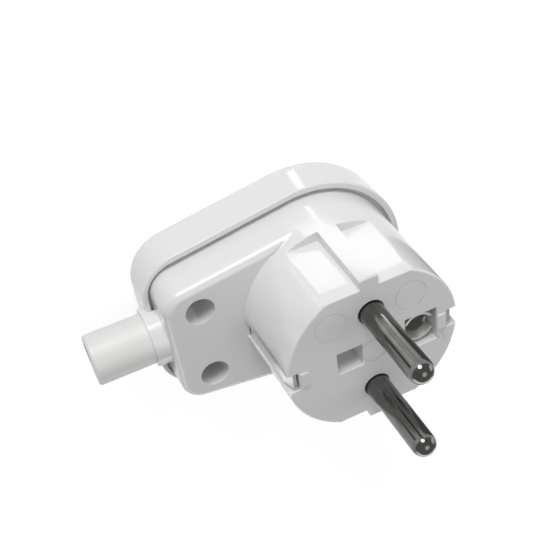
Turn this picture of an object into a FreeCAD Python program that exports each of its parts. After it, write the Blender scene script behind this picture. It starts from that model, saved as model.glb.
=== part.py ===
import FreeCAD, Part
import math
import os
import re
import Sketcher
from FreeCAD import Vector

# Right-angle rewirable mains plug with two round pins, side earth clips and a socket for an earth pin.
# It lies on its back cover with the pins up. The origin is on the cover's back face, on the head's axis.
# +Z runs along the pins, the pins stand in line along Y, and the cable leaves towards -X.
# All sizes are in millimetres.

# Driving dimensions, each with its own cell on the sheet

sizes = {
    # heights above the cover's back face
    "seam_height": 9.8,  # cover's lip, where the two shells meet
    "arm_height": 17.7,  # front face of the flat arm
    "face_height": 36.0,  # face that meets the socket-outlet
    "cable_rise": 0.1,  # axis of the cable sleeve above the seam
    # outline of the two shells
    "draft_angle": 1.3,  # mould draft of the front shell, degrees
    "head_radius": 18.45,  # round head where it enters the cover
    "arm_taper": 9.0,  # slope of each side of the arm, degrees
    "arm_length": 33.1,  # head axis to the cable end of the front shell
    "arm_corner": 4.8,  # corner radius at the cable end
    "arm_edge": 1.8,  # rounding of the arm's front edge
    "arm_inset": 0.06,  # arm's big end inside the head's cone
    "face_edge": 0.5,  # rounding of the face's edge
    "rim_depth": 1.6,  # front shell's rim below the lip
    "lip_overhang": 2.25,  # cover's lip outside the front shell
    "lip_trim": 0.65,  # lip narrower than that at the cable end
    "lip_round": 2.15,  # lip's corners rounder than the front shell's
    "shadow_gap": 0.95,  # groove between the lip and the front shell
    "gap_trim": 0.4,  # groove narrower than that at the cable end
    "gap_round": 1.05,  # groove's corners rounder than the front shell's
    "lip_edge": 0.25,  # bevel of the lip
    "cover_edge": 2.0,  # rounding of the cover's back edge
    "shelf_width": 0.9,  # cover's shelf under the front shell's rim
    # walls
    "side_wall": 2.1,  # front shell's side wall
    "face_wall": 3.0,  # face plate
    "arm_wall": 2.6,  # front wall of the arm
    "cover_wall": 2.0,  # back wall of the cover
    "rib_wall": 1.2,  # inner ribs
    "rib_gap": 2.8,  # cover's ribs stop short of the cable clamp
    "head_wall": 4.75,  # wall of the head, thick enough for the channels and grooves
    "play": 0.1,  # assembly clearance between pieces
    "thread_play": 0.05,  # radial clearance at a screw's thread
    # guide grooves on the head, in line with the pins
    "groove_depth": 2.55,  # groove's floor inside the head's radius
    "groove_length": 16.0,  # groove from the face backwards
    "guide_rib_width": 3.9,  # rib in the middle of each groove
    "lead_length": 2.7,  # lead-in of the groove at the face
    "lead_drop": 0.45,  # depth of that lead-in
    # pins
    "pin_radius": 2.4,  # round pin
    "pin_reach": 19.0,  # pin beyond the face
    "pin_spread": 9.5,  # head axis to each pin
    "neck_radius": 2.6,  # pin inside the face plate
    "flange_radius": 3.7,  # shoulder behind the face plate
    "flange_length": 3.4,  # thickness of that shoulder
    "terminal_radius": 3.0,  # terminal head of the pin
    "terminal_length": 9.1,  # terminal head behind the shoulder
    "wire_hole": 1.3,  # cross hole for the wire, radius
    "wire_hole_drop": 6.6,  # wire hole behind the shoulder
    # terminal screws and washers
    "screw_radius": 1.45,  # all the small screws
    "screw_head": 2.6,  # radius of their heads
    "head_height": 1.8,  # height of their heads
    "slot_width": 0.8,  # driver slot
    "slot_depth": 0.9,  # driver slot
    "screw_edge": 0.3,  # bevel of a screw's head
    "screw_point": 0.4,  # bevel of a screw's end
    "terminal_screw_length": 3.6,  # terminal screw below its head
    "washer_half": 2.8,  # half the side of a clamp washer
    "washer_thickness": 0.8,  # clamp washer
    "washer_edge": 0.2,  # bevel of its wire side
    # bar that holds both pins
    "bridge_thickness": 3.6,  # pin bridge
    "bridge_half": 3.0,  # half the width of its middle
    "bridge_ring": 4.0,  # radius of its two ends
    "bridge_edge": 0.4,  # bevel of its back
    "centre_boss": 3.0,  # radius of the boss under the bridge
    "screw_cover": 1.0,  # plastic left in front of a blind screw hole
    # earth parts
    "clip_thickness": 0.7,  # earth strip
    "clip_depth": 1.75,  # floor of the side channel inside the head's radius
    "clip_half": 2.0,  # half the width of an earth clip
    "clip_play": 0.2,  # gap on each side of a clip in its channel
    "strap_half": 3.4,  # half the width of the strap's middle
    "clip_drop": 0.5,  # clip's end behind the face
    "clip_slope": 2.9,  # height of the clip's leaning end
    "clip_lean": 0.9,  # how far the clip's end leans in
    "clip_knee": 0.2,  # height above the arm's front where the clip's foot starts
    "foot_lean": 0.15,  # how far the clip's foot leans in
    "bend_radius": 1.2,  # outside of the bend between strap and clip
    "strap_corner": 1.1,  # corners of the strap's middle
    "notch_inset": 3.0,  # notch's floor inside the head's radius
    "notch_depth": 4.0,  # notch behind the face
    "pad_inset": 3.35,  # raised pad beside the notch, inside the head's radius
    "pad_width": 1.55,  # width of the pad
    "pad_half": 1.7,  # half the length of the pad
    "pad_rise": 0.25,  # height of the pad above the face
    "contact_offset": 10.0,  # head axis to the earth-pin socket
    "contact_bore": 2.45,  # bore that takes the earth pin
    "contact_wall": 0.5,  # wall of the sprung sleeve
    "contact_flare": 0.3,  # how far the sleeve's mouth opens
    "contact_foot": 2.7,  # radius of the solid foot
    "foot_height": 4.0,  # solid foot above the strap
    "flare_length": 1.6,  # length of the flared mouth
    "contact_drop": 1.0,  # sleeve's mouth behind the face
    "split_width": 1.2,  # slots that part the sleeve's two leaves
    "leaf_gap": 2.8,  # gap between the leaves at the mouth
    "leaf_depth": 2.2,  # depth of that wider gap
    "rivet_radius": 1.15,  # rivet under the sleeve
    "rivet_head": 2.0,  # its head
    "rivet_head_height": 0.7,  # its head
    "rivet_length": 3.4,  # its shank in the strap and the foot
    "rivet_edge": 0.35,  # bevel of its head
    "aperture_half_width": 3.35,  # earth-pin opening, half its width
    "aperture_half": 4.0,  # half its length
    "chamber_depth": 9.0,  # walls round the sleeve behind the face plate
    "pocket_centre": 5.0,  # head axis to the square blind pocket
    "pocket_half": 2.6,  # half its side
    "pocket_depth": 5.0,  # depth of the square pocket
    "earth_screw_offset": 9.5,  # head axis to the earth screw
    "earth_boss": 3.2,  # radius of its boss
    "earth_screw_length": 9.0,  # screw below its head
    # cover screws in the arm
    "well_inset": 6.95,  # cable end to the two screw wells
    "well_side": 6.3,  # side of the arm to each well
    "well_radius": 2.9,  # screw well
    "well_drop": 1.8,  # well's floor below the seam
    "well_boss": 4.2,  # radius of the boss round a well
    "well_end": 1.5,  # plastic under the screw's head
    "cover_screw_shank": 1.6,  # radius of the cover screws
    "cover_screw_hole": 1.75,  # clearance hole in the front shell
    "cover_screw_bite": 4.6,  # screw's length in the cover
    "cover_boss": 3.6,  # radius of the boss in the cover
    # cable entry
    "collar_radius": 6.0,  # round collar
    "collar_length": 2.8,  # collar beyond the front shell
    "sleeve_radius": 5.15,  # cable sleeve, outside
    "sleeve_bore": 3.5,  # cable sleeve, inside
    "sleeve_reach": 11.7,  # cable sleeve beyond the collar
    "sleeve_flange": 5.8,  # flange that holds the sleeve
    "sleeve_flange_length": 1.2,  # thickness of that flange
    "sleeve_edge": 0.35,  # bevel of the sleeve's end
    "seat_play": 0.05,  # clearance round the sleeve
    # cable clamp
    "clamp_inset": 14.1,  # cable end to the cable clamp
    "clamp_inward": 0.64,  # clamp screws nearer the middle than the wells
    "clamp_boss": 3.0,  # radius of its bosses
    "clamp_drop": 2.6,  # bar's seat below the seam
    "clamp_thickness": 2.8,  # clamp bar
    "clamp_half": 2.5,  # half the width of the bar
    "clamp_end": 3.2,  # bar beyond each screw
    "clamp_screw_length": 8.0,  # screw below its head
    "clamp_corner": 2.0,  # corners of the bar
    "saddle_radius": 4.1,  # round seat for the cable
    # moulding marks on the face
    "mark_offset": 8.1,  # head axis to each ring mark, across the pins
    "mark_spread": 9.6,  # head axis to each ring mark, along the pins
    "mark_radius": 3.3,  # ring mark
    "centre_mark": 2.8,  # ring mark on the axis
    "mark_width": 0.3,  # width of the ring's groove
    "mark_depth": 0.15,  # depth of the ring's groove
}

doc = FreeCAD.newDocument("angled_plug")
sheet = doc.addObject("Spreadsheet::Sheet", "Sizes")
for row, (alias, value) in enumerate(sizes.items(), start=1):
    sheet.set("A%d" % row, alias.replace("_", " "))
    sheet.set("B%d" % row, str(value))
    sheet.setAlias("B%d" % row, alias)
doc.recompute()


def on_sheet(formula):
    """The formula with each size named as the sheet's own."""
    return re.sub("[a-z_]+", lambda word: "Sizes." * (word.group() in sizes) + word.group(), formula)


def now(formula):
    """The number that a formula gives with the sheet's present sizes."""
    return float(sheet.evalExpression(formula))


sides = (("upper", 1), ("lower", -1))
same_place = 1e-3  # two places are the same within this
least_change = 1e-4  # smallest volume that counts as a change

# Places that several pieces share, each worked out from the sizes
rim = "seam_height - rim_depth"
cable_height = "(seam_height + cable_rise)"
inner_face = "face_height - face_wall"
arm_ceiling = "(arm_height - arm_wall)"
head_bore = "(head_radius - head_wall)"
clip_floor = "(head_radius - clip_depth)"
strap_height = "(arm_height - arm_wall - bend_radius)"
strap_top = "(arm_height - arm_wall - bend_radius + clip_thickness)"
well_offset = "(arm_length - well_inset)"
arm_half = "(head_radius / cos(arm_taper * 1deg) - " + well_offset + " * tan(arm_taper * 1deg))"
well_spread = "(" + arm_half + " - well_side)"
well_floor = "(seam_height - well_drop)"
clamp_offset = "(arm_length - clamp_inset)"
clamp_spread = "(" + well_spread + " - clamp_inward)"
clamp_seat = "(seam_height - clamp_drop)"
flange_inner = "(arm_length - side_wall - sleeve_flange_length - play)"
collar_end = "(arm_length + collar_length)"


# Sketch helpers

def new_body(label):
    """An empty body whose label names its file."""
    body = doc.addObject("PartDesign::Body", label)
    body.Label = label
    return body


def sketch_on(body, role, offset="0"):
    """A sketch on one of the body's own origin planes, moved along that plane's normal."""
    sketch = body.newObject("Sketcher::SketchObject", body.Label + "_sketch")
    plane = [item for item in body.Origin.OriginFeatures if item.Role == role][0]
    sketch.AttachmentSupport = [(plane, "")]
    sketch.MapMode = "FlatFace"
    sketch.setExpression("AttachmentOffset.Base.z", on_sheet(offset))
    return sketch


def bind(sketch, constraint, formula):
    """Add a constraint whose value follows a formula on the sheet."""
    index = sketch.addConstraint(constraint)
    name = "size_%d" % index
    sketch.renameConstraint(index, name)
    sketch.setExpression("Constraints." + name, on_sheet(formula))


def place(sketch, geometry, point, across, up):
    """Hold one point of the sketch at two formulas, counted from the sketch's origin."""
    for formula, kind, axis in ((across, "DistanceX", -2), (up, "DistanceY", -1)):
        if abs(now(formula)) < least_change:
            sketch.addConstraint(Sketcher.Constraint("PointOnObject", geometry, point, axis))
        else:
            bind(sketch, Sketcher.Constraint(kind, geometry, point, now(formula)), formula)


def add_circle(sketch, across, up, radius):
    """A circle with its centre and radius bound."""
    centre = Vector(now(across), now(up), 0)
    circle = sketch.addGeometry(Part.Circle(centre, Vector(0, 0, 1), now(radius)), False)
    bind(sketch, Sketcher.Constraint("Radius", circle, now(radius)), radius)
    place(sketch, circle, 3, across, up)


def add_polygon(sketch, corners):
    """A closed outline of straight lines, with every corner bound."""
    points = [Vector(now(across), now(up), 0) for across, up in corners]
    first = sketch.GeometryCount
    count = len(corners)
    for index in range(count):
        line = Part.LineSegment(points[index], points[(index + 1) % count])
        sketch.addGeometry(line, False)
    for index in range(count):
        following = first + (index + 1) % count
        sketch.addConstraint(Sketcher.Constraint("Coincident", first + index, 2, following, 1))
        place(sketch, first + index, 1, *corners[index])


def add_box(sketch, left, right, low, high):
    """A rectangle between four formulas."""
    add_polygon(sketch, [(left, low), (right, low), (right, high), (left, high)])


def add_teardrop(sketch, radius, end, corner):
    """The shells' outline: a round head, two straight sloping sides and a cable end with round corners."""
    big, reach, small = now(radius), now(end), now(corner)
    slope = math.radians(sizes["arm_taper"])
    across = small - reach
    up = (big - small) / math.cos(slope) + across * math.tan(slope)
    lean = Vector(-math.sin(slope), math.cos(slope), 0)
    tangent = [lean * big, Vector(across, up, 0) + lean * small, Vector(-reach, up, 0)]
    mirrored = [Vector(point.x, -point.y, 0) for point in tangent]
    quarter = math.pi / 2 + slope
    z_axis = Vector(0, 0, 1)
    head = Part.ArcOfCircle(Part.Circle(Vector(), z_axis, big), -quarter, quarter)
    upper_corner = Part.ArcOfCircle(Part.Circle(Vector(across, up, 0), z_axis, small), quarter, math.pi)
    lower_corner = Part.ArcOfCircle(Part.Circle(Vector(across, -up, 0), z_axis, small), -math.pi, -quarter)
    upper_side = Part.LineSegment(tangent[1], tangent[0])
    lower_side = Part.LineSegment(mirrored[1], mirrored[0])
    cable_end = Part.LineSegment(tangent[2], mirrored[2])
    geometry = [head, upper_side, upper_corner, cable_end, lower_corner, lower_side]
    sketch.addGeometry(geometry, False)
    joints = ((0, 2, 1, 2), (1, 1, 2, 1), (2, 2, 3, 1), (3, 2, 4, 1), (4, 2, 5, 1), (5, 2, 0, 1))
    for first, first_end, second, second_end in joints:
        sketch.addConstraint(Sketcher.Constraint("Tangent", first, first_end, second, second_end))
    sketch.addConstraint(Sketcher.Constraint("Coincident", 0, 3, -1, 1))
    sketch.addConstraint(Sketcher.Constraint("Equal", 2, 4))
    bind(sketch, Sketcher.Constraint("Radius", 0, big), radius)
    bind(sketch, Sketcher.Constraint("Radius", 2, small), corner)
    bind(sketch, Sketcher.Constraint("DistanceX", 3, 1, -reach), "-(" + end + ")")
    bind(sketch, Sketcher.Constraint("Angle", 1, slope), "arm_taper * 1deg")
    bind(sketch, Sketcher.Constraint("Angle", 5, -slope), "-arm_taper * 1deg")


# Feature helpers

def finish(body, feature, grows, spare=False):
    """Rebuild, and make sure that the feature changes the body, unless it may be spare."""
    before = body.Shape.Volume if not body.Shape.isNull() else 0.0
    doc.recompute()
    change = feature.Shape.Volume - before
    if not spare and change * (1 if grows else -1) < least_change:
        raise RuntimeError("%s changes nothing (%.4f)" % (feature.Label, change))
    return feature


def pad(body, sketch, length, both=False, draft=None):
    """Grow material from a sketch."""
    feature = body.newObject("PartDesign::Pad", body.Label + "_pad")
    feature.Profile = sketch
    feature.setExpression("Length", on_sheet(length))
    feature.Midplane = both
    if draft:
        feature.setExpression("TaperAngle", on_sheet(draft))
    return finish(body, feature, True)


def cut(body, sketch, depth, forward=False, both=False, spare=False):
    """Take material away behind a sketch, or in front of it where forward is set."""
    feature = body.newObject("PartDesign::Pocket", body.Label + "_cut")
    feature.Profile = sketch
    feature.setExpression("Length", on_sheet(depth))
    feature.Reversed = forward
    feature.Midplane = both
    return finish(body, feature, False, spare)


def turn(body, sketch, axis, groove=False):
    """Revolve a profile about one of the sketch's own axes."""
    kind = "PartDesign::Groove" if groove else "PartDesign::Revolution"
    feature = body.newObject(kind, body.Label + "_turn")
    feature.Profile = sketch
    feature.ReferenceAxis = (sketch, [axis])
    feature.Angle = 360
    return finish(body, feature, not groove)


def round_edges(body, radius, chosen):
    """Fillet each edge of the body's last feature that the test picks."""
    tip = body.Tip
    names = ["Edge%d" % (number + 1) for number, edge in enumerate(tip.Shape.Edges) if chosen(edge)]
    feature = body.newObject("PartDesign::Fillet", body.Label + "_round")
    feature.Base = (tip, names)
    feature.setExpression("Radius", on_sheet(radius))
    doc.recompute()
    return feature


def bevel_edges(body, width, chosen):
    """Chamfer each edge of the body's last feature that the test picks."""
    tip = body.Tip
    names = ["Edge%d" % (number + 1) for number, edge in enumerate(tip.Shape.Edges) if chosen(edge)]
    feature = body.newObject("PartDesign::Chamfer", body.Label + "_bevel")
    feature.Base = (tip, names)
    feature.setExpression("Size", on_sheet(width))
    doc.recompute()
    return feature


def at_height(edge, formula):
    """True where the whole edge lies at one height."""
    box = edge.BoundBox
    return abs(box.ZMin - now(formula)) < same_place and abs(box.ZMax - now(formula)) < same_place


def is_circle(edge, radius):
    """True for a round edge of that radius."""
    return isinstance(edge.Curve, Part.Circle) and abs(edge.Curve.Radius - now(radius)) < same_place


# Front shell: one moulding with the face, the round head, the flat arm and half of the cable collar

def add_collar_half(sketch, front):
    """The part of the collar's disc on one side of the seam, seen along the cable."""
    centre = Vector(0, now(cable_height), 0)
    radius = sizes["collar_radius"]
    start = math.asin(-sizes["cable_rise"] / radius)
    end = math.pi - start
    if not front:
        start, end = end, 2 * math.pi + start
    arc = Part.ArcOfCircle(Part.Circle(centre, Vector(0, 0, 1), radius), start, end)
    sketch.addGeometry(arc, False)
    sketch.addGeometry(Part.LineSegment(arc.EndPoint, arc.StartPoint), False)
    sketch.addConstraint(Sketcher.Constraint("Coincident", 0, 2, 1, 1))
    sketch.addConstraint(Sketcher.Constraint("Coincident", 1, 2, 0, 1))
    sketch.addConstraint(Sketcher.Constraint("Horizontal", 1))
    place(sketch, 0, 3, "0", cable_height)
    bind(sketch, Sketcher.Constraint("Radius", 0, radius), "collar_radius")
    bind(sketch, Sketcher.Constraint("DistanceY", 1, 1, sizes["seam_height"]), "seam_height")


def add_pair(sketch, across, apart, radius):
    """Two circles, one on each side of the middle line."""
    for name, sign in sides:
        add_circle(sketch, across, "%d * %s" % (sign, apart), radius)


def shape_outside(body):
    """Flat arm with a rounded front edge, round head and half of the collar."""
    sketch = sketch_on(body, "XY_Plane", rim)
    add_teardrop(sketch, "head_radius - arm_inset", "arm_length", "arm_corner")
    pad(body, sketch, "arm_height - (" + rim + ")", draft="-draft_angle * 1deg")
    round_edges(body, "arm_edge", lambda edge: at_height(edge, "arm_height"))
    sketch = sketch_on(body, "XY_Plane", rim)
    add_circle(sketch, "0", "0", "head_radius")
    pad(body, sketch, "face_height - (" + rim + ")", draft="-draft_angle * 1deg")
    round_edges(body, "face_edge", lambda edge: at_height(edge, "face_height"))
    sketch = sketch_on(body, "YZ_Plane", "-" + collar_end)
    add_collar_half(sketch, True)
    pad(body, sketch, "collar_length + side_wall")


def hollow_out(body):
    """Hollows of the arm and the head, open to the back."""
    sketch = sketch_on(body, "XY_Plane", rim)
    add_teardrop(sketch, "head_radius - side_wall", "arm_length - side_wall", "arm_corner - side_wall")
    cut(body, sketch, arm_ceiling + " - (" + rim + ")", forward=True)
    sketch = sketch_on(body, "XY_Plane", rim)
    add_circle(sketch, "0", "0", head_bore)
    cut(body, sketch, inner_face + " - (" + rim + ")", forward=True)


def add_bosses(body):
    """Bosses under the pins, the square pocket, the screws and the earth-pin sleeve, and cross ribs."""
    seat = inner_face + " - flange_length"
    sketch = sketch_on(body, "XY_Plane", seat)
    add_pair(sketch, "0", "pin_spread", "flange_radius + rib_wall")
    pad(body, sketch, "flange_length + play")
    sketch = sketch_on(body, "XY_Plane", seat)
    add_circle(sketch, "0", "0", "centre_boss")
    pad(body, sketch, "flange_length + play")
    sketch = sketch_on(body, "XY_Plane", "face_height - pocket_depth - rib_wall")
    add_box(sketch, "-(pocket_centre + pocket_half + rib_wall)", "-(pocket_centre - pocket_half - rib_wall)",
            "-(pocket_half + rib_wall)", "pocket_half + rib_wall")
    pad(body, sketch, "pocket_depth + rib_wall - face_wall + play")
    sketch = sketch_on(body, "XY_Plane", strap_top)
    add_circle(sketch, "-earth_screw_offset", "0", "earth_boss")
    pad(body, sketch, inner_face + " - " + strap_top + " + play")

    # chamber round the earth-pin sleeve
    sketch = sketch_on(body, "XY_Plane", inner_face + " - chamber_depth")
    width = "aperture_half_width + rib_wall"
    add_box(sketch, "contact_offset - (" + width + ")", "contact_offset + " + width,
            "-(aperture_half + rib_wall)", "aperture_half + rib_wall")
    pad(body, sketch, "chamber_depth + play")

    # tubes round the two screw wells, and bosses for the cable clamp
    sketch = sketch_on(body, "XY_Plane", well_floor + " - well_end")
    add_pair(sketch, "-" + well_offset, well_spread, "well_boss")
    pad(body, sketch, arm_ceiling + " - " + well_floor + " + well_end + play")
    sketch = sketch_on(body, "XY_Plane", clamp_seat)
    add_pair(sketch, "-" + clamp_offset, clamp_spread, "clamp_boss")
    pad(body, sketch, arm_ceiling + " - " + clamp_seat + " + play")

    # block round the sleeve's flange, and a rib that grips the cable over the clamp
    sketch = sketch_on(body, "XY_Plane", cable_height)
    grip = clamp_offset + " + rib_wall / 2"
    blocks = (("arm_length - side_wall", flange_inner + " - rib_wall"), (grip, grip + " - rib_wall"))
    for back, front in blocks:
        add_box(sketch, "-(" + back + ")", "-(" + front + ")", "-" + well_spread, well_spread)
    pad(body, sketch, arm_ceiling + " - " + cable_height + " + play")


def cut_openings(body):
    """Everything that is cut through the walls and bosses."""
    # guide grooves, each left and right of its rib, with a shallow lead-in at the face
    outside = "(head_radius + lip_overhang)"
    groove_flat = "(head_radius - groove_depth)"
    sketch = sketch_on(body, "XY_Plane", "face_height")
    for name, sign in sides:
        low = "%d * %s" % (sign, groove_flat)
        high = "%d * %s" % (sign, outside)
        for near, far in (("-head_radius", "-guide_rib_width / 2"), ("guide_rib_width / 2", "head_radius")):
            add_box(sketch, near, far, low, high)
    cut(body, sketch, "groove_length")
    for start, forward in (("guide_rib_width / 2", True), ("-guide_rib_width / 2", False)):
        sketch = sketch_on(body, "YZ_Plane", start)
        for name, sign in sides:
            floor = "%d * %s" % (sign, groove_flat)
            inward = "%d * (%s - lead_drop)" % (sign, groove_flat)
            bottom = "face_height - lead_length"
            add_polygon(sketch, [(floor, bottom), (floor, "face_height"), (inward, "face_height")])
        cut(body, sketch, "head_radius", forward=forward)

    # channels for the earth clips, and the notches where the clips' ends lean in
    notch_floor = "(head_radius - notch_inset)"
    channel_half = "clip_half + clip_play"
    for floor, depth in ((clip_floor, "face_height - arm_height"), (notch_floor, "notch_depth")):
        sketch = sketch_on(body, "XY_Plane", "face_height")
        for name, sign in sides:
            near = "%d * %s" % (sign, floor)
            far = "%d * %s" % (sign, outside)
            add_box(sketch, near, far, "-(" + channel_half + ")", channel_half)
        cut(body, sketch, depth)

    # slots in the arm's front wall that the clips pass through
    clip_room = clip_floor + " + clip_thickness + play"
    sketch = sketch_on(body, "XY_Plane", "arm_height + clip_knee")
    for name, sign in sides:
        near = "%d * (%s - foot_lean - play)" % (sign, clip_floor)
        add_box(sketch, near, "%d * (%s)" % (sign, clip_room), "-(" + channel_half + ")", channel_half)
    cut(body, sketch, "arm_wall + clip_knee")

    # room for the strap and the clips' lower ends, the earth-pin sleeve and the pins' terminal heads
    sketch = sketch_on(body, "XY_Plane", rim)
    add_box(sketch, "-(" + clip_room + ")", clip_room,
            "-(" + channel_half + " + play)", channel_half + " + play")
    cut(body, sketch, arm_ceiling + " - (" + rim + ")", forward=True)
    sketch = sketch_on(body, "XY_Plane", rim)
    add_circle(sketch, "contact_offset", "0", "contact_bore + contact_wall + contact_flare + play")
    cut(body, sketch, inner_face + " - (" + rim + ")", forward=True, spare=True)
    sketch = sketch_on(body, "XY_Plane", rim)
    add_pair(sketch, "0", "pin_spread", "bridge_ring + play")
    cut(body, sketch, inner_face + " - flange_length - (" + rim + ")", forward=True, spare=True)

    # holes for the pins, with room for their shoulders
    sketch = sketch_on(body, "XY_Plane", "face_height")
    add_pair(sketch, "0", "pin_spread", "neck_radius + seat_play")
    cut(body, sketch, "face_wall + flange_length")
    sketch = sketch_on(body, "XY_Plane", inner_face)
    add_pair(sketch, "0", "pin_spread", "flange_radius + play")
    cut(body, sketch, "flange_length + play")

    # the opening for the earth pin with its chamber, and the square pocket
    sketch = sketch_on(body, "XY_Plane", "face_height")
    add_box(sketch, "contact_offset - aperture_half_width", "contact_offset + aperture_half_width",
            "-aperture_half", "aperture_half")
    cut(body, sketch, "face_wall + chamber_depth")
    sketch = sketch_on(body, "XY_Plane", "face_height")
    add_box(sketch, "-(pocket_centre + pocket_half)", "-(pocket_centre - pocket_half)",
            "-pocket_half", "pocket_half")
    cut(body, sketch, "pocket_depth")

    # screw wells with their clearance holes, and the blind screw holes
    sketch = sketch_on(body, "XY_Plane", "arm_height")
    add_pair(sketch, "-" + well_offset, well_spread, "well_radius")
    cut(body, sketch, "arm_height - " + well_floor)
    sketch = sketch_on(body, "XY_Plane", well_floor)
    add_pair(sketch, "-" + well_offset, well_spread, "cover_screw_hole")
    cut(body, sketch, "well_end")
    sketch = sketch_on(body, "XY_Plane", clamp_seat)
    add_pair(sketch, "-" + clamp_offset, clamp_spread, "screw_radius + thread_play")
    cut(body, sketch, "arm_height - " + clamp_seat + " - screw_cover", forward=True)
    sketch = sketch_on(body, "XY_Plane", inner_face + " - flange_length")
    add_circle(sketch, "0", "0", "screw_radius + thread_play")
    cut(body, sketch, "flange_length + face_wall - screw_cover", forward=True)
    sketch = sketch_on(body, "XY_Plane", strap_top)
    add_circle(sketch, "-earth_screw_offset", "0", "screw_radius + thread_play")
    cut(body, sketch, "earth_screw_length", forward=True)

    # passage for the sleeve, its flange and the cable
    sketch = sketch_on(body, "YZ_Plane", "-" + collar_end)
    add_circle(sketch, "0", cable_height, "sleeve_radius + seat_play")
    cut(body, sketch, "collar_length + side_wall", forward=True)
    sketch = sketch_on(body, "YZ_Plane", "-(arm_length - side_wall)")
    add_circle(sketch, "0", cable_height, "sleeve_flange + play")
    cut(body, sketch, "sleeve_flange_length + play", forward=True)
    sketch = sketch_on(body, "YZ_Plane", "-" + flange_inner)
    add_circle(sketch, "0", cable_height, "saddle_radius")
    cut(body, sketch, flange_inner + " - " + clamp_offset + " + rib_wall", forward=True)


def add_face_details(body):
    """Raised pads beside the notches, and ring marks left by the mould."""
    outer = "(head_radius - pad_inset)"
    inner = "(head_radius - pad_inset - pad_width)"
    sketch = sketch_on(body, "XY_Plane", "face_height")
    for name, sign in sides:
        add_box(sketch, "%d * %s" % (sign, inner), "%d * %s" % (sign, outer), "-pad_half", "pad_half")
    pad(body, sketch, "pad_rise")
    sketch = sketch_on(body, "XY_Plane", "face_height")
    for edge in ("mark_radius", "mark_radius - mark_width"):
        add_circle(sketch, "mark_offset", "mark_spread", edge)
        add_circle(sketch, "-mark_offset", "mark_spread", edge)
    for edge in ("centre_mark", "centre_mark - mark_width"):
        add_circle(sketch, "0", "0", edge)
    cut(body, sketch, "mark_depth")


# Back cover: a shallow moulding whose lip stands out round the front shell

def build_back_cover():
    """Moulded cover with a rim recess, ribs, screw bosses and the other half of the collar."""
    body = new_body("back_cover")
    outside = ("head_radius + lip_overhang", "arm_length + lip_overhang - lip_trim",
               "arm_corner + lip_overhang + lip_round")
    recess = ("head_radius + shadow_gap", "arm_length + shadow_gap - gap_trim",
              "arm_corner + shadow_gap + gap_round")
    hollow = ("head_radius - shelf_width", "arm_length - shelf_width", "arm_corner - shelf_width")

    sketch = sketch_on(body, "XY_Plane")
    add_teardrop(sketch, *outside)
    pad(body, sketch, "seam_height")
    round_edges(body, "cover_edge", lambda edge: at_height(edge, "0"))
    bevel_edges(body, "lip_edge", lambda edge: at_height(edge, "seam_height"))

    sketch = sketch_on(body, "YZ_Plane", "-" + collar_end)
    add_collar_half(sketch, False)
    pad(body, sketch, "collar_length + side_wall")

    sketch = sketch_on(body, "XY_Plane", "seam_height")
    add_teardrop(sketch, *recess)
    cut(body, sketch, "rim_depth")
    sketch = sketch_on(body, "XY_Plane", rim)
    add_teardrop(sketch, *hollow)
    cut(body, sketch, rim + " - cover_wall")

    # bosses for the cover screws, stiffening ribs, and ribs that hold the sleeve
    sketch = sketch_on(body, "XY_Plane", "cover_wall - play")
    add_pair(sketch, "-" + well_offset, well_spread, "cover_boss")
    pad(body, sketch, well_floor + " - well_end - cover_wall + play")
    sketch = sketch_on(body, "XY_Plane", "cover_wall - play")
    rib_end = "-(" + clamp_offset + " - clamp_half - rib_gap)"
    for offset in ("-pin_spread", "0", "pin_spread"):
        add_box(sketch, rib_end, head_bore, offset + " - rib_wall / 2", offset + " + rib_wall / 2")
    pad(body, sketch, "cover_wall + play")
    sketch = sketch_on(body, "XY_Plane", "cover_wall - play")
    add_box(sketch, "-" + flange_inner, "-(" + flange_inner + " - rib_wall)", "-" + well_spread, well_spread)
    pad(body, sketch, cable_height + " - saddle_radius - cover_wall + play")
    sketch = sketch_on(body, "XY_Plane", "cover_wall - play")
    add_box(sketch, "-arm_length", "-(arm_length - side_wall)", "-" + well_spread, well_spread)
    pad(body, sketch, rim + " - cover_wall + play")

    sketch = sketch_on(body, "XY_Plane", well_floor + " - well_end")
    add_pair(sketch, "-" + well_offset, well_spread, "cover_screw_shank + thread_play")
    cut(body, sketch, "cover_screw_bite + play")
    sketch = sketch_on(body, "YZ_Plane", "-" + collar_end)
    add_circle(sketch, "0", cable_height, "sleeve_radius + seat_play")
    cut(body, sketch, "collar_length + side_wall", forward=True)
    return body


# Turned and stamped pieces

def build_cable_sleeve():
    """Soft tube round the cable, with a flange held between the two shells."""
    body = new_body("cable_sleeve")
    wall_inner = "-(arm_length - side_wall)"
    flange_end = "-(arm_length - side_wall - sleeve_flange_length)"
    outer_end = "-(" + collar_end + " + sleeve_reach)"
    sketch = sketch_on(body, "XZ_Plane")
    add_polygon(sketch, [
        (outer_end, "sleeve_bore"), (flange_end, "sleeve_bore"),
        (flange_end, "sleeve_flange"), (wall_inner, "sleeve_flange"),
        (wall_inner, "sleeve_radius"), (outer_end, "sleeve_radius")])
    turn(body, sketch, "H_Axis")
    body.setExpression("Placement.Base.z", on_sheet(cable_height))
    bevel_edges(body, "sleeve_edge", lambda edge: is_circle(edge, "sleeve_radius")
                and abs(edge.BoundBox.XMax - now(outer_end)) < same_place)
    return body


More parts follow.
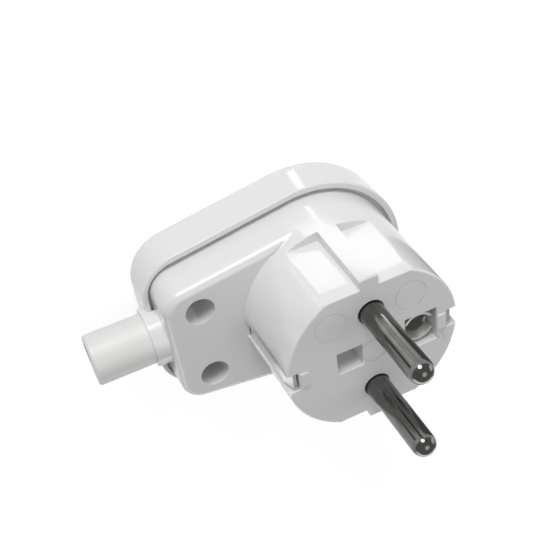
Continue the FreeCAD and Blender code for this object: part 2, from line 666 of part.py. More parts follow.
def add_dome(body, radius, height):
    """A half ball on top of a round pin."""
    sketch = sketch_on(body, "XZ_Plane")
    centre = Vector(0, now(height), 0)
    quarter = Part.ArcOfCircle(Part.Circle(centre, Vector(0, 0, 1), now(radius)), 0, math.pi / 2)
    sketch.addGeometry(quarter, False)
    sketch.addGeometry(Part.LineSegment(quarter.EndPoint, centre), False)
    sketch.addGeometry(Part.LineSegment(centre, quarter.StartPoint), False)
    for first, second in ((0, 1), (1, 2), (2, 0)):
        sketch.addConstraint(Sketcher.Constraint("Coincident", first, 2, second, 1))
    place(sketch, 0, 3, "0", height)
    sketch.addConstraint(Sketcher.Constraint("Vertical", 1))
    sketch.addConstraint(Sketcher.Constraint("Horizontal", 2))
    bind(sketch, Sketcher.Constraint("Radius", 0, now(radius)), radius)
    turn(body, sketch, "V_Axis")


def build_pin(label, sign):
    """Round pin with a shoulder behind the face plate and a drilled terminal head."""
    body = new_body(label)
    back = inner_face + " - flange_length - terminal_length"
    seat = inner_face + " - flange_length"
    shoulder = "face_height + pin_reach - pin_radius"
    sketch = sketch_on(body, "XZ_Plane")
    add_polygon(sketch, [
        ("0", back), ("terminal_radius", back), ("terminal_radius", seat), ("flange_radius", seat),
        ("flange_radius", inner_face), ("neck_radius", inner_face), ("neck_radius", "face_height"),
        ("pin_radius", "face_height"), ("pin_radius", shoulder), ("0", shoulder)])
    turn(body, sketch, "V_Axis")
    add_dome(body, "pin_radius", shoulder)
    sketch = sketch_on(body, "XY_Plane", back)
    add_circle(sketch, "0", "0", "screw_radius + thread_play")
    cut(body, sketch, "terminal_screw_length + play", forward=True)
    sketch = sketch_on(body, "YZ_Plane")
    add_circle(sketch, "0", inner_face + " - wire_hole_drop", "wire_hole")
    cut(body, sketch, "2 * flange_radius", both=True)
    body.setExpression("Placement.Base.y", on_sheet("%d * pin_spread" % sign))
    return body


def build_washer(label, back, across, up):
    """Square clamp washer with a round hole."""
    body = new_body(label)
    sketch = sketch_on(body, "XY_Plane")
    add_box(sketch, "-washer_half", "washer_half", "-washer_half", "washer_half")
    add_circle(sketch, "0", "0", "screw_radius + play")
    pad(body, sketch, "washer_thickness")
    bevel_edges(body, "washer_edge", lambda edge: at_height(edge, "0") and not hasattr(edge.Curve, "Radius"))
    put(body, across, up, back)
    return body


def put(body, across, up, height):
    """Stand a body at its place in the plug."""
    body.setExpression("Placement.Base.x", on_sheet(across))
    body.setExpression("Placement.Base.y", on_sheet(up))
    body.setExpression("Placement.Base.z", on_sheet(height))


def build_screw(label, across, up, seat, length, shank="screw_radius", forward=True):
    """Slotted screw: its head lies behind the seat, or in front of it where forward is not set."""
    body = new_body(label)
    way = "1" if forward else "-1"
    sketch = sketch_on(body, "XZ_Plane")
    add_polygon(sketch, [
        ("0", "-head_height * " + way), ("screw_head", "-head_height * " + way), ("screw_head", "0"),
        (shank, "0"), (shank, "(" + length + ") * " + way), ("0", "(" + length + ") * " + way)])
    turn(body, sketch, "V_Axis")
    head = "-head_height * " + way
    bevel_edges(body, "screw_edge", lambda edge: at_height(edge, head))
    bevel_edges(body, "screw_point", lambda edge: at_height(edge, "(" + length + ") * " + way))
    sketch = sketch_on(body, "XY_Plane", head)
    add_box(sketch, "-screw_head", "screw_head", "-slot_width / 2", "slot_width / 2")
    cut(body, sketch, "slot_depth", forward=forward)
    put(body, across, up, seat)
    return body


def build_pin_bridge():
    """Moulded bar across the two pin shoulders."""
    body = new_body("pin_bridge")
    back = inner_face + " - flange_length - bridge_thickness"
    sketch = sketch_on(body, "XY_Plane", back)
    add_box(sketch, "-bridge_half", "bridge_half", "-pin_spread", "pin_spread")
    pad(body, sketch, "bridge_thickness")
    sketch = sketch_on(body, "XY_Plane", back)
    add_pair(sketch, "0", "pin_spread", "bridge_ring")
    pad(body, sketch, "bridge_thickness")
    bevel_edges(body, "bridge_edge", lambda edge: at_height(edge, back))
    sketch = sketch_on(body, "XY_Plane", back)
    add_pair(sketch, "0", "pin_spread", "terminal_radius + play")
    add_circle(sketch, "0", "0", "screw_radius + play")
    cut(body, sketch, "bridge_thickness", forward=True)
    return body


def build_earth_bracket():
    """Bent strip: a strap across the shell with a side clip at each end, whose tips lean inwards."""
    body = new_body("earth_bracket")
    outer = clip_floor + " + clip_thickness"
    end = "face_height - clip_drop"
    bend = "face_height - clip_drop - clip_slope"
    knee = "arm_height + clip_knee"
    foot_inner = clip_floor + " - foot_lean"
    foot_outer = outer + " - foot_lean"
    half = [(foot_inner, strap_top), (clip_floor, knee), (clip_floor, bend),
            (clip_floor + " - clip_lean", end), (outer + " - clip_lean", end),
            (outer, bend), (outer, knee), (foot_outer, strap_height)]
    other = [("-(" + across + ")", up) for across, up in reversed(half)]
    sketch = sketch_on(body, "XZ_Plane")
    add_polygon(sketch, half + other)
    pad(body, sketch, "2 * clip_half", both=True)
    round_edges(body, "bend_radius", lambda edge: along_width(edge, foot_outer, strap_height))
    round_edges(body, "bend_radius - clip_thickness",
                lambda edge: along_width(edge, foot_inner, strap_top))
    sketch = sketch_on(body, "XY_Plane", strap_height)
    add_box(sketch, "-(earth_screw_offset + strap_half)", "contact_offset + strap_half",
            "-strap_half", "strap_half")
    pad(body, sketch, "clip_thickness")
    round_edges(body, "strap_corner", is_strap_corner)
    sketch = sketch_on(body, "XY_Plane", strap_height)
    add_circle(sketch, "-earth_screw_offset", "0", "screw_radius + play")
    add_circle(sketch, "contact_offset", "0", "rivet_radius + seat_play")
    cut(body, sketch, "clip_thickness", forward=True)
    return body


def along_width(edge, across, height):
    """True for a straight edge across the strip at that distance from the middle and that height."""
    box = edge.BoundBox
    level = abs(box.ZMin - now(height)) < same_place and abs(box.ZMax - now(height)) < same_place
    return level and box.XLength < same_place and abs(abs(box.XMin) - now(across)) < same_place


def is_strap_corner(edge):
    """True for an upright edge at a corner of the strap's wide middle."""
    box = edge.BoundBox
    upright = abs(box.ZLength - now("clip_thickness")) < same_place
    return upright and box.XLength < same_place and abs(abs(box.YMin) - now("strap_half")) < same_place


def build_earth_contact():
    """Sprung sleeve for the earth pin: solid foot, round bore and a flared mouth split into two leaves."""
    body = new_body("earth_contact")
    foot = strap_top
    floor = foot + " + foot_height"
    mouth = "face_height - contact_drop"
    sleeve = "contact_bore + contact_wall"
    flare = mouth + " - flare_length"
    sketch = sketch_on(body, "XZ_Plane")
    add_polygon(sketch, [
        ("0", foot), ("contact_foot", foot), ("contact_foot", floor + " - contact_wall"),
        (sleeve, floor + " - contact_wall"), (sleeve, flare), (sleeve + " + contact_flare", mouth),
        ("contact_bore + contact_flare", mouth), ("contact_bore", flare),
        ("contact_bore", floor), ("0", floor)])
    turn(body, sketch, "V_Axis")
    sketch = sketch_on(body, "XY_Plane", mouth)
    rim_radius = sleeve + " + contact_flare"
    add_box(sketch, "-(" + rim_radius + ")", rim_radius, "-split_width / 2", "split_width / 2")
    cut(body, sketch, mouth + " - (" + floor + ") - split_width")
    sketch = sketch_on(body, "XY_Plane", mouth)
    add_box(sketch, "-(" + rim_radius + ")", rim_radius, "-leaf_gap / 2", "leaf_gap / 2")
    cut(body, sketch, "leaf_depth")
    sketch = sketch_on(body, "XY_Plane", foot)
    add_circle(sketch, "0", "0", "rivet_radius + seat_play")
    cut(body, sketch, "rivet_length - clip_thickness + seat_play", forward=True)
    body.setExpression("Placement.Base.x", on_sheet("contact_offset"))
    return body


def build_earth_rivet():
    """Rivet that holds the sleeve's foot on the strap."""
    body = new_body("earth_rivet")
    sketch = sketch_on(body, "XZ_Plane")
    add_polygon(sketch, [
        ("0", "-rivet_head_height"), ("rivet_head", "-rivet_head_height"), ("rivet_head", "0"),
        ("rivet_radius", "0"), ("rivet_radius", "rivet_length"), ("0", "rivet_length")])
    turn(body, sketch, "V_Axis")
    bevel_edges(body, "rivet_edge", lambda edge: at_height(edge, "-rivet_head_height"))
    put(body, "contact_offset", "0", strap_height)
    return body


def build_clamp_bar():
    """Cable clamp: a bar with a round saddle and a hole at each end."""
    body = new_body("cable_clamp_bar")
    back = clamp_seat + " - clamp_thickness"
    half_length = "(" + clamp_spread + " + clamp_end)"
    sketch = sketch_on(body, "XY_Plane", back)
    add_box(sketch, "-(" + clamp_offset + " + clamp_half)", "-(" + clamp_offset + " - clamp_half)",
            "-" + half_length, half_length)
    pad(body, sketch, "clamp_thickness")
    round_edges(body, "clamp_corner",
                lambda edge: edge.BoundBox.XLength + edge.BoundBox.YLength < same_place)
    sketch = sketch_on(body, "YZ_Plane", "-(" + clamp_offset + " + clamp_half)")
    add_circle(sketch, "0", cable_height, "saddle_radius")
    cut(body, sketch, "2 * clamp_half", forward=True)
    sketch = sketch_on(body, "XY_Plane", back)
    add_pair(sketch, "-" + clamp_offset, clamp_spread, "screw_radius + play")
    cut(body, sketch, "clamp_thickness", forward=True)
    return body


front_housing = new_body("front_housing")
for step in (shape_outside, hollow_out, add_bosses, cut_openings, add_face_details):
    step(front_housing)

build_back_cover()
build_cable_sleeve()

pin_back = inner_face + " - flange_length - terminal_length"
for label, sign in (("live", 1), ("neutral", -1)):
    along = "%d * pin_spread" % sign
    build_pin(label + "_pin", sign)
    build_washer(label + "_clamp_washer", pin_back + " - washer_thickness", "0", along)
    build_screw(label + "_terminal_screw", "0", along, pin_back + " - washer_thickness",
                "terminal_screw_length")

build_pin_bridge()
build_screw("bridge_screw", "0", "0", inner_face + " - flange_length - bridge_thickness",
            "bridge_thickness + flange_length + face_wall - screw_cover - play")

build_earth_bracket()
build_earth_contact()
build_earth_rivet()
build_washer("earth_clamp_washer", strap_height + " - washer_thickness", "-earth_screw_offset", "0")
build_screw("earth_terminal_screw", "-earth_screw_offset", "0", strap_height + " - washer_thickness",
            "earth_screw_length")

build_clamp_bar()
for label, sign in sides:
    build_screw("clamp_screw_" + label, "-" + clamp_offset, "%d * %s" % (sign, clamp_spread),
                clamp_seat + " - clamp_thickness", "clamp_screw_length")
    build_screw("cover_screw_" + label, "-" + well_offset, "%d * %s" % (sign, well_spread),
                well_floor, "well_end + cover_screw_bite", shank="cover_screw_shank", forward=False)

doc.recompute()
failed = [item.Label for item in doc.Objects if "Invalid" in item.State or "Error" in item.State]
bodies = [item for item in doc.Objects if item.TypeId == "PartDesign::Body"]
failed += [body.Label for body in bodies if body.Shape.isNull() or not body.Shape.isValid()]
if failed:
    raise RuntimeError("not built: " + ", ".join(failed))

os.makedirs("parts", exist_ok=True)
for body in bodies:
    solids = len(body.Shape.Solids)
    print("%-24s %d solid, %.1f cubic mm" % (body.Label, solids, body.Shape.Volume))
    body.Shape.exportStep("parts/%s.step" % body.Label)
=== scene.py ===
import math

import bmesh
import bpy
from mathutils import Matrix, Vector


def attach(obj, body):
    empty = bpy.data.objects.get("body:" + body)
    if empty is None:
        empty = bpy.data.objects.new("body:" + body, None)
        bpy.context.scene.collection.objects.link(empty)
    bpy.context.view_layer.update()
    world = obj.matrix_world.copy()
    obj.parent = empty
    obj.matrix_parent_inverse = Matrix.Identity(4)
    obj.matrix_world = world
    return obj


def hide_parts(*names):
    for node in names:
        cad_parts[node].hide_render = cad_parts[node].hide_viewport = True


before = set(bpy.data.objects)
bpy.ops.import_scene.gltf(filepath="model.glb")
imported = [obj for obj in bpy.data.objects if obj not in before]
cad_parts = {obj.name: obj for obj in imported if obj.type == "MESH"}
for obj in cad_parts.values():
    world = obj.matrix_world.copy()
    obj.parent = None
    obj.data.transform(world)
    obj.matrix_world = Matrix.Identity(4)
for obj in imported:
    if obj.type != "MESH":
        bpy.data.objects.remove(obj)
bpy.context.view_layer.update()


# Camera. It looks down on the plug from the side of one guide groove, rolled
# so that the flat back runs up to the left and the two pins point down right.

photo_camera = bpy.data.objects.new("photo_camera", bpy.data.cameras.new("photo_camera"))
photo_camera.data.sensor_width = 36.0
photo_camera.data.lens = 61.787
photo_camera.data.clip_start = 0.01
photo_camera.data.clip_end = 10.0
camera_right = Vector((0.899426, -0.122845, 0.419455))
camera_up = Vector((0.361608, 0.748209, -0.556259))
camera_back = Vector((-0.245506, 0.651991, 0.717380))
camera_turn = Matrix((camera_right, camera_up, camera_back)).transposed().to_4x4()
photo_camera.matrix_world = Matrix.Translation((-0.054579, 0.127401, 0.148775)) @ camera_turn
bpy.context.scene.collection.objects.link(photo_camera)
bpy.context.scene.camera = photo_camera


# Studio. White paper under the plug, a large soft lamp on the side of the upper
# guide groove, two weak ones and an even pale surround. Glowing and grey sheets
# close to the plug are seen only in reflections: painted reflections, which put
# the bands of light and the darker patches on the glossy plastic and the metal.

bpy.context.scene.view_settings.view_transform = "Standard"


def clear_selection():
    """Nothing is left selected, so that an operator acts on the new piece alone."""
    for item in bpy.context.selected_objects:
        item.select_set(False)
    bpy.context.view_layer.objects.active = None


def new_material(name):
    """A node material with its Principled shader at hand."""
    material = bpy.data.materials.new(name)
    material.use_nodes = True
    return material, material.node_tree.nodes, material.node_tree.links


def new_plane(name, middle, size, turn):
    """A square plane of the stage, placed and turned."""
    clear_selection()
    bpy.ops.mesh.primitive_plane_add(size=size, location=middle, rotation=turn)
    plane = bpy.context.active_object
    plane.name = name
    return plane


just_below = -0.0001
paper_tone = (0.66, 0.66, 0.66, 1.0)
paper_level = 0.68
studio_floor = new_plane("studio_floor", (0.0, 0.0, just_below), 6.0, (0.0, 0.0, 0.0))
paper, nodes, links = new_material("white paper sweep")
nodes.remove(nodes["Principled BSDF"])
paper_surface = nodes.new("ShaderNodeBsdfDiffuse")
paper_surface.inputs["Color"].default_value = paper_tone
paper_glow = nodes.new("ShaderNodeEmission")
paper_seen = nodes.new("ShaderNodeLightPath")
seen_or_mirrored = nodes.new("ShaderNodeMath")
seen_or_mirrored.operation = "MAXIMUM"
seen_through = nodes.new("ShaderNodeMath")
seen_through.operation = "MAXIMUM"
glow_level = nodes.new("ShaderNodeMath")
glow_level.operation = "MULTIPLY"
glow_level.inputs[1].default_value = paper_level
links.new(paper_seen.outputs["Is Camera Ray"], seen_or_mirrored.inputs[0])
links.new(paper_seen.outputs["Is Glossy Ray"], seen_or_mirrored.inputs[1])
links.new(seen_or_mirrored.outputs[0], seen_through.inputs[0])
links.new(paper_seen.outputs["Is Transmission Ray"], seen_through.inputs[1])
links.new(seen_through.outputs[0], glow_level.inputs[0])
links.new(glow_level.outputs[0], paper_glow.inputs["Strength"])
paper_sum = nodes.new("ShaderNodeAddShader")
links.new(paper_surface.outputs[0], paper_sum.inputs[0])
links.new(paper_glow.outputs[0], paper_sum.inputs[1])
links.new(paper_sum.outputs[0], nodes["Material Output"].inputs["Surface"])
studio_floor.data.materials.append(paper)

surround = bpy.data.worlds.new("pale surround")
surround.use_nodes = True
surround_light = surround.node_tree.nodes["Background"]
surround_light.inputs["Color"].default_value = (1.0, 1.0, 1.0, 1.0)
surround_seen = surround.node_tree.nodes.new("ShaderNodeLightPath")
surround_level = surround.node_tree.nodes.new("ShaderNodeMapRange")
surround_level.inputs["To Min"].default_value = 0.33
surround_level.inputs["To Max"].default_value = 0.95
surround.node_tree.links.new(surround_seen.outputs["Is Camera Ray"], surround_level.inputs["Value"])
surround.node_tree.links.new(surround_level.outputs["Result"], surround_light.inputs["Strength"])
bpy.context.scene.world = surround

plug_middle = Vector((0.0, 0.0, 0.02))


def add_soft_lamp(name, place, width, watts):
    """A round area lamp turned towards the middle of the plug."""
    lamp = bpy.data.objects.new(name, bpy.data.lights.new(name, "AREA"))
    lamp.data.shape = "DISK"
    lamp.data.size = width
    lamp.data.energy = watts
    lamp.location = place
    lamp.rotation_euler = (plug_middle - Vector(place)).to_track_quat("-Z", "Y").to_euler()
    bpy.context.scene.collection.objects.link(lamp)


add_soft_lamp("groove_side_lamp", (-0.15, 0.85, 0.22), 0.45, 4.5)
add_soft_lamp("overhead_lamp", (0.05, 0.10, 1.00), 0.60, 1.2)
add_soft_lamp("fill_lamp", (0.80, 0.05, 0.25), 0.50, 0.9)


def show_painted_reflection(name, middle, size, turn, level, upright=False):
    """A sheet by the plug that glows only in reflections, light or grey: a painted reflection, which
    lights nothing and casts no shadow.
    """
    tilt = 90.0 if upright else 0.0
    painted_sheet = new_plane(name, middle, 1.0, (math.radians(tilt), 0.0, math.radians(turn)))
    painted_sheet.scale = (size[0], size[1], 1.0)
    painted_sheet.visible_camera = False
    painted_sheet.visible_diffuse = False
    painted_sheet.visible_shadow = False
    surface, nodes, links = new_material(name.replace("_", " "))
    nodes.remove(nodes["Principled BSDF"])
    light = nodes.new("ShaderNodeEmission")
    light.inputs["Strength"].default_value = level
    links.new(light.outputs[0], nodes["Material Output"].inputs["Surface"])
    painted_sheet.data.materials.append(surface)


# Painted highlights on the guide grooves, the rib, the cover wall and along the pins; painted dark
# reflections from the two grey sheets; a broad painted reflection from the sheet behind the plug.
show_painted_reflection("painted_groove_highlight", (0.0140, 0.0435, 0.0005), (0.038, 0.019), 0.0, 4.2)
show_painted_reflection("painted_cover_highlight", (0.0045, 0.0285, 0.0005), (0.0020, 0.0130), -20.6, 5.5)
show_painted_reflection("painted_pin_highlight_left", (-0.030, 0.054, 0.0006), (0.0040, 0.044), 34.0, 2.6)
show_painted_reflection("painted_pin_highlight_right", (0.028, 0.066, 0.0006), (0.0070, 0.026), -30.0, 1.6)
show_painted_reflection("painted_dark_reflection_right", (0.087, -0.003, 0.0004), (0.100, 0.110), 0.0, 0.20)
show_painted_reflection("painted_dark_reflection_left", (-0.063, 0.0330, 0.0004), (0.036, 0.026), -20.0, 0.20)
show_painted_reflection("painted_reflection_behind", (-0.15, -0.70, 0.19), (1.60, 0.32), 0.0, 2.4, upright=True)


# Front housing. One injection moulding in hard white plastic: face plate,
# round head, flat arm and half of the cable collar. Its edges come off the
# mould slightly round and its glossy skin is faintly wavy.

def start_skin_group(name, sizes):
    """A shader group with tones, limits of roughness and its own sizes as inputs."""
    group = bpy.data.node_groups.new(name, "ShaderNodeTree")
    for socket in ("Light Tone", "Deep Tone"):
        group.interface.new_socket(socket, in_out="INPUT", socket_type="NodeSocketColor")
    for socket in ("Smooth", "Rough") + sizes:
        group.interface.new_socket(socket, in_out="INPUT", socket_type="NodeSocketFloat")
    group.interface.new_socket("Tone", in_out="OUTPUT", socket_type="NodeSocketColor")
    for socket in ("Roughness", "Relief"):
        group.interface.new_socket(socket, in_out="OUTPUT", socket_type="NodeSocketFloat")
    return group, group.nodes.new("NodeGroupInput"), group.nodes.new("NodeGroupOutput")


def add_noise(group, place, detail):
    """A noise that follows the given coordinates."""
    noise = group.nodes.new("ShaderNodeTexNoise")
    noise.inputs["Detail"].default_value = detail
    group.links.new(place, noise.inputs["Vector"])
    return noise


def set_tone(group, entry, result, broad, fine):
    """The tone goes from light to deep with two noises, a little more with the fine one."""
    fine_share = 0.6
    first_colour, second_colour, mixed_colour = 6, 7, 2
    mottle = group.nodes.new("ShaderNodeMix")
    mottle.inputs["Factor"].default_value = fine_share
    group.links.new(broad.outputs["Fac"], mottle.inputs["A"])
    group.links.new(fine.outputs["Fac"], mottle.inputs["B"])
    tone = group.nodes.new("ShaderNodeMix")
    tone.data_type = "RGBA"
    group.links.new(mottle.outputs[0], tone.inputs["Factor"])
    group.links.new(entry.outputs["Light Tone"], tone.inputs[first_colour])
    group.links.new(entry.outputs["Deep Tone"], tone.inputs[second_colour])
    group.links.new(tone.outputs[mixed_colour], result.inputs["Tone"])


def set_gloss(group, entry, result, noise, margin, course):
    """The roughness goes from smooth to rough where the noise leaves a margin at both its ends."""
    gloss = group.nodes.new("ShaderNodeMapRange")
    gloss.interpolation_type = course
    gloss.inputs["From Min"].default_value = margin
    gloss.inputs["From Max"].default_value = 1.0 - margin
    group.links.new(noise.outputs["Fac"], gloss.inputs["Value"])
    group.links.new(entry.outputs["Smooth"], gloss.inputs["To Min"])
    group.links.new(entry.outputs["Rough"], gloss.inputs["To Max"])
    group.links.new(gloss.outputs["Result"], result.inputs["Roughness"])


def moulded_skin_group():
    """Colour, gloss and relief of an injection-moulded skin."""
    group, entry, result = start_skin_group("moulded skin", ("Flow Size", "Grain Size", "Grain Depth"))
    place = group.nodes.new("ShaderNodeTexCoord").outputs["Object"]
    flow = add_noise(group, place, 2.0)
    group.links.new(entry.outputs["Flow Size"], flow.inputs["Scale"])
    grain = add_noise(group, place, 3.0)
    group.links.new(entry.outputs["Grain Size"], grain.inputs["Scale"])
    set_tone(group, entry, result, flow, grain)
    set_gloss(group, entry, result, flow, 0.2, "SMOOTHSTEP")
    shallow_grain = group.nodes.new("ShaderNodeMath")
    shallow_grain.operation = "MULTIPLY"
    group.links.new(grain.outputs["Fac"], shallow_grain.inputs[0])
    group.links.new(entry.outputs["Grain Depth"], shallow_grain.inputs[1])
    relief = group.nodes.new("ShaderNodeMath")
    group.links.new(flow.outputs["Fac"], relief.inputs[0])
    group.links.new(shallow_grain.outputs[0], relief.inputs[1])
    group.links.new(relief.outputs[0], result.inputs["Relief"])
    return group


def skinned_material(name, group, values, depth, metallic=0.0, specular=0.5):
    """A material whose colour, gloss and relief come from one of the shared groups."""
    material, nodes, links = new_material(name)
    shader = nodes["Principled BSDF"]
    shader.inputs["Metallic"].default_value = metallic
    shader.inputs["Specular IOR Level"].default_value = specular
    skin = nodes.new("ShaderNodeGroup")
    skin.node_tree = group
    for socket, value in values.items():
        skin.inputs[socket].default_value = value
    relief = nodes.new("ShaderNodeBump")
    relief.inputs["Strength"].default_value = 1.0
    relief.inputs["Distance"].default_value = depth
    links.new(skin.outputs["Tone"], shader.inputs["Base Color"])
    links.new(skin.outputs["Roughness"], shader.inputs["Roughness"])
    links.new(skin.outputs["Relief"], relief.inputs["Height"])
    links.new(relief.outputs["Normal"], shader.inputs["Normal"])
    return material


def dress(piece, material):
    """The piece shows this material alone."""
    piece.data.materials.clear()
    piece.data.materials.append(material)


def refined_copy(node, name, edge_width, is_outside):
    """A copy of a CAD node with whole faces again, and with its long outside edges slightly round."""
    same_point = 0.000002
    same_plane = math.radians(0.5)
    steep_turn = math.radians(40)
    smooth_turn = math.radians(35)
    clear_selection()
    piece = bpy.data.objects.new(name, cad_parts[node].data.copy())
    bpy.context.scene.collection.objects.link(piece)
    piece.select_set(True)
    bpy.context.view_layer.objects.active = piece
    bpy.ops.object.mode_set(mode="EDIT")
    bpy.ops.mesh.select_all(action="SELECT")
    bpy.ops.mesh.remove_doubles(threshold=same_point)
    bpy.ops.mesh.dissolve_limited(angle_limit=same_plane)
    shape = bmesh.from_edit_mesh(piece.data)
    rounded = shape.edges.layers.float.new("bevel_weight_edge")
    for edge in shape.edges:
        middle = (edge.verts[0].co + edge.verts[1].co) / 2
        stands_out = len(edge.link_faces) == 2 and edge.calc_face_angle() > steep_turn and edge.is_convex
        if stands_out and is_outside(middle, edge.calc_length()):
            edge[rounded] = 1.0
    bmesh.update_edit_mesh(piece.data)
    bpy.ops.object.mode_set(mode="OBJECT")
    rounding = piece.modifiers.new("mould rounding", "BEVEL")
    rounding.width = edge_width
    rounding.segments = 2
    rounding.limit_method = "WEIGHT"
    rounding.use_clamp_overlap = False
    bpy.ops.object.modifier_apply(modifier=rounding.name)
    bpy.ops.object.shade_smooth_by_angle(angle=smooth_turn)
    flat_faces = piece.modifiers.new("flat faces", "WEIGHTED_NORMAL")
    flat_faces.keep_sharp = True
    flat_faces.weight = 100
    bpy.ops.object.modifier_apply(modifier=flat_faces.name)
    return piece


def show_shell(shell, node, material):
    """The refined shell takes the place of its CAD node."""
    dress(shell, material)
    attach(shell, "root")
    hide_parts(node)


moulded_skin = moulded_skin_group()
shell_plastic = skinned_material(
    "white moulded plastic", moulded_skin,
    {"Light Tone": (0.825, 0.825, 0.82, 1.0), "Deep Tone": (0.795, 0.795, 0.79, 1.0),
     "Smooth": 0.13, "Rough": 0.20, "Flow Size": 90.0, "Grain Size": 5200.0, "Grain Depth": 0.15},
    0.00001)

hair = 0.00001
long_edge = 0.0003
short_edge = 0.00002
arm_end = -0.0330
arm_front = 0.0176
collar_end = -0.0357
collar_hole = 0.0055
cable_height = 0.0099
notch_start = 0.0125
notch_reach = 0.0080
head_core = 0.0145
rib_side = 0.00195
rib_foot = 0.0170
rib_arc_start = 0.0354
face_level = 0.0360
face_rounding = 0.0005
mould_marks = ((0.0081, 0.0096, 0.0034), (-0.0081, 0.0096, 0.0034),
               (0.0081, -0.0096, 0.0034), (-0.0081, -0.0096, 0.0034), (0.0, 0.0, 0.0029))


def is_collar_rim(point):
    """True on the free end of the collar, outside the hole for the sleeve."""
    return point.x < collar_end and math.hypot(point.y, point.z - cable_height) > collar_hole


def is_rib_corner(point):
    """True where a guide rib's sides run round into the face."""
    on_side = abs(abs(point.x) - rib_side) < hair
    return on_side and abs(point.y) > rib_foot and point.z > rib_arc_start


def is_front_shell_edge(point, length):
    """True on the outside of the front housing, away from the notches and the fine marks in its face."""
    if is_rib_corner(point):
        return length > short_edge
    if length < long_edge:
        return False
    if point.x < arm_end:
        return is_collar_rim(point)
    if abs(point.y) < notch_reach and abs(point.x) > notch_start and point.z > arm_front:
        return False
    if point.z > face_level - face_rounding:
        in_mark = [math.hypot(point.x - x, point.y - y) < reach for x, y, reach in mould_marks]
        return not any(in_mark) and point.z < face_level + 2 * hair
    return point.z > arm_front and math.hypot(point.x, point.y) > head_core


front_shell = refined_copy("front_housing", "front_shell", 0.00013, is_front_shell_edge)
show_shell(front_shell, "front_housing", shell_plastic)


# Back cover. The second injection moulding of the same plastic, a shallow tray
# whose lip stands out round the front housing and leaves a shadow gap.

lip_foot = 0.0096
lip_end = -0.0350


def is_rear_shell_edge(point, length):
    """True on the cover's lip and on the rim of its half of the collar."""
    on_lip = point.z > lip_foot and point.x > lip_end
    return length >= long_edge and (is_collar_rim(point) or on_lip)


rear_shell = refined_copy("back_cover", "rear_shell", 0.00010, is_rear_shell_edge)
show_shell(rear_shell, "back_cover", shell_plastic)


# Cable sleeve. A soft white tube, moulded in flexible plastic, whose flange
# is held between the two shells. Its skin is duller than theirs.

sleeve_plastic = skinned_material(
    "soft white sleeve plastic", moulded_skin,
    {"Light Tone": (0.82, 0.82, 0.81, 1.0), "Deep Tone": (0.77, 0.77, 0.76, 1.0),
     "Smooth": 0.36, "Rough": 0.46, "Flow Size": 240.0, "Grain Size": 4200.0, "Grain Depth": 0.12},
    0.00012)
dress(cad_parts["cable_sleeve"], sleeve_plastic)


# Pins. Two round pins of nickel-plated brass, turned from drawn rod. Their
# colour is darkened and streaked with light and dark lines up to the rounded
# tips: partly the rod's fine drawing lines, partly painted reflection standing
# in for the bands the metal reflects.

def drawn_metal_group():
    """Colour, gloss and relief of metal with fine lines along its length."""
    group, entry, result = start_skin_group("drawn metal", ("Line Size", "Stretch"))
    place = group.nodes.new("ShaderNodeTexCoord").outputs["Object"]
    parts = group.nodes.new("ShaderNodeSeparateXYZ")
    shorter = group.nodes.new("ShaderNodeMath")
    shorter.operation = "MULTIPLY"
    along = group.nodes.new("ShaderNodeCombineXYZ")
    group.links.new(place, parts.inputs[0])
    group.links.new(parts.outputs["X"], along.inputs["X"])
    group.links.new(parts.outputs["Y"], along.inputs["Y"])
    group.links.new(parts.outputs["Z"], shorter.inputs[0])
    group.links.new(entry.outputs["Stretch"], shorter.inputs[1])
    group.links.new(shorter.outputs[0], along.inputs["Z"])
    drawn_lines_and_painted_streaks = add_noise(group, along.outputs[0], 4.0)
    group.links.new(entry.outputs["Line Size"], drawn_lines_and_painted_streaks.inputs["Scale"])
    cloud = add_noise(group, place, 4.0)
    cloud.inputs["Scale"].default_value = 420.0
    set_tone(group, entry, result, cloud, drawn_lines_and_painted_streaks)
    set_gloss(group, entry, result, cloud, 0.3, "LINEAR")
    group.links.new(drawn_lines_and_painted_streaks.outputs["Fac"], result.inputs["Relief"])
    return group


drawn_metal = drawn_metal_group()
# Nickel tone kept very dark, with strong light and dark streaks along the pins: painted reflection over
# the real drawing lines.
pin_nickel_painted_streaks = skinned_material(
    "nickel pin with painted reflection streaks", drawn_metal,
    {"Light Tone": (0.29, 0.285, 0.275, 1.0), "Deep Tone": (0.05, 0.049, 0.047, 1.0),
     "Smooth": 0.10, "Rough": 0.20, "Line Size": 2200.0, "Stretch": 0.10},
    0.000012, metallic=1.0)
for node in ("live_pin", "neutral_pin"):
    dress(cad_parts[node], pin_nickel_painted_streaks)


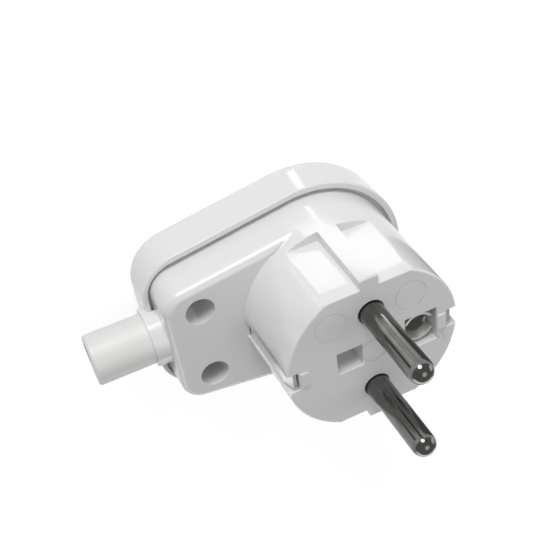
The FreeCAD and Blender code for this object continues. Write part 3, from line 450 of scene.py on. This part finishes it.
# Earth parts. A tinned strip bent into a strap with a clip at each end, and a
# sprung sleeve for the outlet's earth pin, riveted to the strap by its foot.

strip_tin = skinned_material(
    "tinned strip", drawn_metal,
    {"Light Tone": (0.80, 0.79, 0.77, 1.0), "Deep Tone": (0.66, 0.65, 0.63, 1.0),
     "Smooth": 0.24, "Rough": 0.38, "Line Size": 1800.0, "Stretch": 0.05},
    0.00002, metallic=1.0)
for node in ("earth_bracket", "earth_rivet"):
    dress(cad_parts[node], strip_tin)

sleeve_tin = skinned_material(
    "tinned spring sleeve", drawn_metal,
    {"Light Tone": (0.88, 0.87, 0.85, 1.0), "Deep Tone": (0.76, 0.75, 0.73, 1.0),
     "Smooth": 0.45, "Rough": 0.60, "Line Size": 1800.0, "Stretch": 0.05},
    0.00002, metallic=1.0)
dress(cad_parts["earth_contact"], sleeve_tin)


# Screws and washers. Zinc-plated slotted screws hold the wires, the pin bridge,
# the cable clamp and the cover. The two cover screws show deep in their wells.

screw_zinc = skinned_material(
    "zinc plated screw", drawn_metal,
    {"Light Tone": (0.50, 0.51, 0.52, 1.0), "Deep Tone": (0.34, 0.35, 0.37, 1.0),
     "Smooth": 0.22, "Rough": 0.40, "Line Size": 1500.0, "Stretch": 1.0},
    0.00002, metallic=1.0)
for node in ("live_terminal_screw", "neutral_terminal_screw", "earth_terminal_screw", "bridge_screw",
             "clamp_screw_upper", "clamp_screw_lower", "cover_screw_upper", "cover_screw_lower",
             "live_clamp_washer", "neutral_clamp_washer", "earth_clamp_washer"):
    dress(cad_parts[node], screw_zinc)


# Pin bridge and cable clamp. Two plain mouldings inside the plug, in a duller
# plastic: one holds both pins against the face plate, the other the cable.

inner_plastic = skinned_material(
    "dull inner plastic", moulded_skin,
    {"Light Tone": (0.80, 0.80, 0.79, 1.0), "Deep Tone": (0.74, 0.74, 0.73, 1.0),
     "Smooth": 0.42, "Rough": 0.55, "Flow Size": 260.0, "Grain Size": 3600.0, "Grain Depth": 0.2},
    0.00012, specular=0.45)
for node in ("pin_bridge", "cable_clamp_bar"):
    dress(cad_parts[node], inner_plastic)
